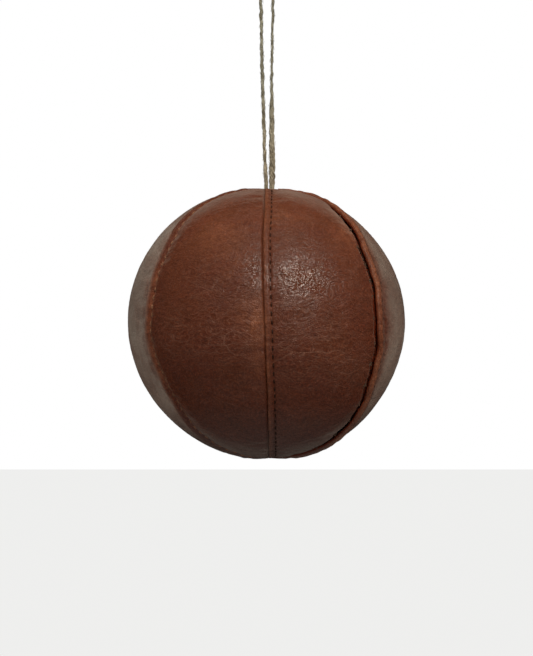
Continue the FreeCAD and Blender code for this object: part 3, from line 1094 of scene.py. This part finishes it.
# A machine stitch from end to end: how far along, in half stitches, how high and how thick
STITCH_SHARE = np.array([-1.0, -0.86, -0.6, -0.25, 0.25, 0.6, 0.86, 1.0])
STITCH_RISE = np.array([-0.65, -0.22, 0.02, 0.10, 0.10, 0.02, -0.22, -0.65])
STITCH_SWELL = np.array([0.75, 0.95, 1.05, 1.0, 1.0, 1.05, 0.95, 0.75])
# How deep the stitches lie beside the open lip
CLOSING_SINK = 0.28
# The latitudes of the hand stitches, and one of them from end to end: mm across and mm high
HAND_STITCHES = [
    -66.0, -55.0, -45.0, -36.0, -27.0, -18.0, -9.0, 0.8, 10.0, 17.0, 24.5, 33.0, 42.0, 51.0, 60.0,
]
HAND_ACROSS = np.array([-3.3, -2.9, -2.3, -1.4, -0.3, 0.6, 1.3])
HAND_RISE = np.array([-1.1, -0.25, 0.10, 0.02, -0.35, -0.75, -1.3])
HAND_RADIUS = 0.25
HAND_APART = 0.28
HAND_PANEL = 50.0
THREAD_SIDES = 8


def stitch_latitudes(seed):
    """Latitudes of the stitches of a row, nearly even, as a machine sews them."""
    wander = np.random.default_rng(seed)
    latitude = -78.0
    rows = []
    while latitude < 80.0:
        rows.append(latitude)
        pitch = STITCH_PITCH * (1.0 + 0.05 * wander.normal())
        latitude += math.degrees(pitch / BALL_RADIUS)
    return rows


def make_needle_thread(index):
    tubes = []
    half = math.degrees(STITCH_LENGTH / 2.0 / BALL_RADIUS)
    for middle in stitch_latitudes(100 + index):
        latitude = middle + half * STITCH_SHARE
        fold, scale = seam_course(index, latitude), row_length(latitude)
        squeeze = narrowing((seam_course(index + 1, latitude) - fold) * scale)
        longitude = fold + lap_of(index).stitch_line * squeeze / scale
        height = panel_height(index, latitude, longitude)[0].mean() - CLOSING_SINK * (index == CLOSING)
        path = ball_point(latitude, longitude, height + STITCH_RISE)
        tubes.append(tube(path, STITCH_RADIUS * STITCH_SWELL, THREAD_SIDES))
    # The widest seam's stitches take the lighter thread with painted light
    material = PAINTED_LIT_THREAD if index == WIDE else THREAD
    return joined_tubes("needle_stitches_%d" % (index + 1), tubes, material)


def make_hand_thread():
    """The closing seam's hand stitches, from the edge of one panel to under the next one's lip."""
    wander = np.random.default_rng(12)
    tubes = []
    for middle in HAND_STITCHES:
        slope = wander.uniform(0.3, 1.3)
        latitude = middle + slope * np.linspace(-1.0, 1.0, len(HAND_ACROSS)) + 0.3 * wander.normal()
        scale = row_length(latitude)
        squeeze = narrowing(scale * HAND_PANEL)
        longitude = seam_course(CLOSING, latitude) + HAND_ACROSS * squeeze / scale
        level = under_height(OPEN_LAP, np.maximum(-HAND_ACROSS, 0.0)) * squeeze
        path = ball_point(latitude, longitude, level + HAND_RISE * squeeze + HAND_RADIUS)
        for shift in (-HAND_APART, HAND_APART):
            tubes.append(tube(path + np.array([0.0, 0.0, shift]), HAND_RADIUS, THREAD_SIDES))
    return joined_tubes("closing_stitches", tubes, HAND_THREAD)


# ------------------------ patches

PATCH_REACH = 13.0
PATCH_RINGS = 16
PATCH_SPOKES = 72
# How wide a panel is near the patch, for each mm from its point
PATCH_PANEL = 1.047
LINER_CLEAR = 46.95


def thin_shell(name, outside, inside, material, turned=False):
    """A sheet with two edges, made of the rings of its outside and its inside."""
    rings = outside + inside[::-1]
    faces = tube_faces(len(rings), len(rings[0]), ends="joined")
    if turned:
        faces = [tuple(reversed(face)) for face in faces]
    return new_mesh_object(name, np.concatenate(rings), faces, material)


def make_patch(name, top):
    """A round leather patch behind the panels' points, thinned to nothing at its edge."""
    turns = np.linspace(0.0, 360.0, PATCH_SPOKES, endpoint=False)
    hole = HALF_WIDTH * np.radians(90.0 - top_edge(turns)) + 0.15 if top else 0.05
    rim = PATCH_REACH * (1.0 + 0.03 * np.sin(np.radians(3.0 * turns) + 1.0))
    outside, inside = [], []
    for share in np.linspace(0.0, 1.0, PATCH_RINGS):
        edge = hole + share * (rim - hole)
        latitude = (90.0 - np.degrees(edge / HALF_WIDTH)) * (1.0 if top else -1.0)
        squeeze = narrowing(edge * PATCH_PANEL)
        outer = ball_point(latitude, turns, -np.maximum(1.15, 1.75 * squeeze) - 0.05)
        far = np.linalg.norm(outer, axis=1)
        outside.append(outer)
        inside.append(outer * (np.minimum(far - 0.08, LINER_CLEAR) / far)[:, None])
    return thin_shell(name, outside, inside, PATCH_LEATHER, turned=top)


# ------------------------ inside the ball

LINER_REACH = 46.85
LINER_CLOTH = 0.45
LINER_GORE = 90.0
LINER_PLEATS = 22
FILLING_REACH = 45.5
CORE_REACH = 22.0
CORE_ROOM = 0.2
STRIP_WIDTH = 6.5
STRIP_TAPER = 0.78
STRIP_LEAN = np.array([0.36, 0.20, 0.91])
WELL_RADIUS = 10.0
WELL_FLOOR = 35.0
INNER_ROWS = 80
INNER_SPOKES = 240
INNER_TURNS = np.linspace(0.0, 360.0, INNER_SPOKES, endpoint=False)


def well_edge(reach):
    return hole_edge(INNER_TURNS, HANG_X, WELL_RADIUS, reach)


def lumpy(way, fineness):
    """Soft lumps from 0 to 1, at unit vectors."""
    return np.clip(0.5 + 0.5 * layered_noise(way * fineness, 3), 0.0, 1.0)


def make_liner_bag():
    """The cotton bag: four gores, a little slack over its filling, and pleated round its mouth."""
    edge = well_edge(LINER_REACH)
    from_seam = (INNER_TURNS + LINER_GORE / 2.0) % LINER_GORE - LINER_GORE / 2.0
    pleat = 0.5 - 0.5 * np.cos(np.radians(LINER_PLEATS * INNER_TURNS))
    outside, inside = [], []
    for step in np.linspace(0.0, 1.0, INNER_ROWS):
        latitude = -89.0 + (edge + 89.0) * step
        way = directions(latitude, INNER_TURNS)
        across = np.radians(from_seam) * LINER_REACH * np.cos(np.radians(latitude))
        dip = 0.30 * lumpy(way, 4.0) + 0.28 * bump(across, 0.0, 1.5)
        dip = dip + 0.22 * pleat * smooth(45.0, 74.0, latitude)
        outside.append(way * (LINER_REACH - dip)[:, None])
        inside.append(way * (LINER_REACH - dip - LINER_CLOTH)[:, None])
    return thin_shell("cotton_bag", outside, inside, COTTON)


def make_filling():
    """Packed fibre: lumpy outside, with the washer's well at the top and room for the core."""
    edge = well_edge(FILLING_REACH)
    rings = []
    for step in np.linspace(0.0, 1.0, INNER_ROWS):
        way = directions(-89.5 + (edge + 89.5) * step, INNER_TURNS)
        rings.append(way * (FILLING_REACH - 1.2 * lumpy(way, 5.0))[:, None])
    rim = rings[-1]
    middle = np.array([HANG_X, 0.0])
    for step in np.linspace(0.1, 1.0, 9):
        wall = rim.copy()
        wall[:, 2] += (WELL_FLOOR - rim[:, 2]) * step
        rough = 1.0 + 0.04 * lumpy(wall / 9.0, 2.0)
        wall[:, :2] = middle + (wall[:, :2] - middle) * rough[:, None]
        rings.append(wall)
    for share in (0.85, 0.65, 0.45, 0.25, 0.08):
        floor = rim.copy()
        floor[:, 2] = WELL_FLOOR
        floor[:, :2] = middle + (floor[:, :2] - middle) * share
        floor[:, 2] -= 0.5 * lumpy(floor / 7.0, 2.0)
        rings.append(floor)
    cavity = []
    for latitude in np.linspace(89.5, -89.5, INNER_ROWS // 2):
        way = directions(np.full(INNER_SPOKES, latitude), INNER_TURNS)
        cavity.append(way * (CORE_REACH + CORE_ROOM + 0.5 * lumpy(way, 6.0))[:, None])
    faces = tube_faces(len(rings), INNER_SPOKES)
    faces += tube_faces(len(cavity), INNER_SPOKES, len(rings) * INNER_SPOKES)
    return new_mesh_object("packed_fibre", np.concatenate(rings + cavity), faces, FILLING)


def make_core():
    """Cloth strip wound into a ball, each turn lapping over the one before."""
    rings = []
    for latitude in np.linspace(-89.5, 89.5, INNER_ROWS):
        way = directions(np.full(INNER_SPOKES, latitude), INNER_TURNS)
        turn = way @ (STRIP_LEAN / np.linalg.norm(STRIP_LEAN)) * CORE_REACH / STRIP_WIDTH
        across = (turn + 0.25 * layered_noise(way * 2.0, 2)) % 1.0
        sunk = np.minimum(across / STRIP_TAPER, (1.0 - across) / (1.0 - STRIP_TAPER))
        rings.append(way * (CORE_REACH - 0.7 * sunk - 0.25 * lumpy(way, 5.0))[:, None])
    faces = tube_faces(INNER_ROWS, INNER_SPOKES)
    return new_mesh_object("wound_cloth", np.concatenate(rings), faces, ROLLED)


KNOT_MIDDLE = np.array([HANG_X, 0.0, 43.9])
KNOT_LOOP = 0.62
KNOT_DEPTH = 1.85
KNOT_STRAND = 0.70
KNOT_SIDES = 12
KNOT_APART = 0.55
KNOT_TAIL = 6.4
KNOT_TAIL_SPLAY = math.radians(22.0)


def knot_tube(path, turn, aside):
    """A ribbed strand of the knot; aside is a vector that keeps its path off the knot's middle."""
    ply = KNOT_STRAND * (1.0 + 0.10 * np.sin(turn))
    return tube(np.stack(path, axis=1) + aside, ply, KNOT_SIDES) + (KNOT_MIDDLE - aside)


def make_knot():
    """An overhand knot of the doubled twine, pulled tight, with its two cut ends."""
    around = np.linspace(0.0, 2.0 * math.pi, 220)
    x = KNOT_LOOP * (np.sin(around) + 2.0 * np.sin(2.0 * around))
    y = KNOT_LOOP * (np.cos(around) - 2.0 * np.cos(2.0 * around))
    z = -KNOT_DEPTH * np.sin(3.0 * around)
    tubes = []
    for beside in (-KNOT_APART, KNOT_APART):
        tubes.append(knot_tube((x, y, z + beside), 34.0 * around, np.zeros(3)))
    reach = np.linspace(1.2, KNOT_TAIL, 40)
    curl = 0.25 * np.sin(reach * 0.9)
    for splay in (-KNOT_TAIL_SPLAY, KNOT_TAIL_SPLAY):
        path = (math.sin(splay) * reach + curl, 0.0 * reach, -math.cos(splay) * reach)
        tubes.append(knot_tube(path, 9.0 * reach, np.array([0.0, 9.0, 0.0])))
    return joined_tubes("twine_knot", tubes, JUTE)


# ------------------------ the pieces and what they stand for


def dress_node(name, material):
    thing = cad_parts[name]
    thing.data.materials.clear()
    thing.data.materials.append(material)


def stand_for(piece, body, node_name):
    """The piece moves with a body and takes the place of one of the frame's nodes."""
    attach(piece, body)
    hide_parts(node_name)
    return piece


SWELL = settled_swell()

for index in range(SEAMS):
    number = index + 1
    panel_piece = make_panel(index, PANEL_LEATHER[index])
    stand_for(panel_piece, "ball", "panel_%d" % number)
    stitches = make_needle_thread(index)
    stand_for(stitches, "ball", "needle_thread_%d" % number)
    dress_node("bobbin_thread_%d" % number, THREAD)

stand_for(make_hand_thread(), "ball", "closing_thread")
for name, top in (("top_patch", True), ("bottom_patch", False)):
    patch = stand_for(make_patch("leather_" + name, top), "ball", name)
cotton_bag = stand_for(make_liner_bag(), "ball", "liner_bag")
packed_fibre = stand_for(make_filling(), "ball", "fibre_filling")
wound_cloth = stand_for(make_core(), "ball", "cloth_core")
stand_for(make_knot(), "knot", "cord_knot")
dress_node("cord_washer", STEEL)

make_twine(JUTE)

# ------------------------ light and floor

ROOM_BELOW = 0.16
ROOM_ABOVE = 0.50
WHITE = (1.0, 1.0, 1.0)
CANDLE_WHITE = (1.0, 0.92, 0.80)
FLOOR_REACH = 20000.0
FLOOR_LEVEL = -1200.0
# Lights: name, place in metres, size in metres, watts, colour and whether it shows in gloss
LIGHTS = [
    ("overhead", (0.0, -0.35, 0.85), (0.7, 0.6), 4.8, WHITE, False),
    ("behind", (-0.1, 0.8, 0.5), (0.6, 0.6), 4.0, WHITE, False),
    ("left", (-0.8, 0.15, 0.25), (0.5, 0.5), 1.1, WHITE, False),
    ("right", (0.8, 0.15, 0.25), (0.5, 0.5), 1.1, WHITE, False),
    ("front", (0.27, -0.64, 0.565), (0.20, 0.12), 3.2, CANDLE_WHITE, True),
]


def area_light(name, place, size, power, colour, in_gloss):
    """A rectangle of light that faces the ball."""
    data = bpy.data.lights.new(name, "AREA")
    data.shape = "RECTANGLE"
    data.size, data.size_y = size
    data.energy = power
    data.color = colour
    light = bpy.data.objects.new(name, data)
    light.location = place
    light.rotation_euler = (-Vector(place)).to_track_quat("-Z", "Y").to_euler()
    light.visible_glossy = in_gloss
    bpy.context.scene.collection.objects.link(light)


def make_world():
    """White all round to the eye; as light, a room that is pale above and dim below."""
    s = Shading(bpy.data.worlds.new("studio"), "Background")
    height = s.height(s.add("TexCoord", {}, "Generated"))
    s.surface({"Color": WHITE, "Strength": s.remap(height, -0.6, 0.9, ROOM_BELOW, ROOM_ABOVE)})
    s.show_to_camera(s.add("Background", {"Color": WHITE, "Strength": 1.0}), "World Output")
    s.owner.cycles_visibility.glossy = False
    bpy.context.scene.world = s.owner


def make_floor():
    """A plain pale floor well below the hanging ball. To the eye it is evenly lit."""
    s = new_material("pale_floor")
    s.surface({"Base Color": (0.90, 0.90, 0.89), "Roughness": 0.8})
    s.show_to_camera(s.add("Emission", {"Color": (0.86, 0.86, 0.85)}), "Material Output")
    signs = ((-1, -1), (1, -1), (1, 1), (-1, 1))
    corners = [(x * FLOOR_REACH, y * FLOOR_REACH, FLOOR_LEVEL) for x, y in signs]
    floor = new_mesh_object("floor", corners, [(0, 1, 2, 3)], s.owner, False)
    floor.visible_glossy = False


make_world()
make_floor()
for row in LIGHTS:
    area_light(*row)
bpy.context.scene.view_settings.view_transform = "Standard"
